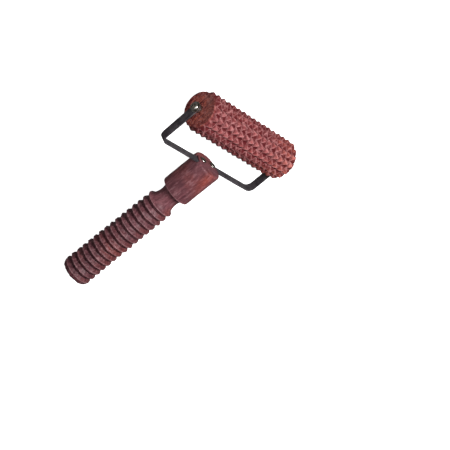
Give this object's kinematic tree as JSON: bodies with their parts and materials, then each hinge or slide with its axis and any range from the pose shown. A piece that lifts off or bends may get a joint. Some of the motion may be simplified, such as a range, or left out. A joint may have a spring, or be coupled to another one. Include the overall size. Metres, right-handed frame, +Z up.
{
  "type": "massage roller",
  "caption": "Hand-held wooden massage roller: toothed wooden roller turning in a bent flat-steel yoke on a turned, ribbed wooden handle.",
  "frame": {"origin": "middle of the tool's footprint, on the surface it rests on", "axes": "+Z up, +X along the roller's axle, +Y from the handle's end to the roller"},
  "size_m": [0.1448, 0.231, 0.0396],
  "materials": {
    "roller_wood": "lacquered, dusty rose-brown, carved teeth",
    "handle_wood": "lacquered dark red-brown, turned",
    "black_steel": "black paint, satin",
    "zinc_steel": "zinc plated, bright"
  },
  "bodies": {
    "grip": {"handle": "handle_wood", "slot_key": "handle_wood", "handle_screw_left": "zinc_steel", "handle_screw_right": "zinc_steel", "yoke": "black_steel", "spacer_left": "zinc_steel", "spacer_right": "zinc_steel", "washer_left": "zinc_steel", "washer_right": "zinc_steel"},
    "spinner": {"roller": "roller_wood", "axle_screw_left": "zinc_steel", "axle_screw_right": "zinc_steel"}
  },
  "joints": [
    {"name": "roller_spin", "type": "hinge", "parent": "grip", "child": "spinner", "pos_m": [0, 0.0956, 0.01956], "axis": [1, 0, 0], "continuous": true}
  ]
}
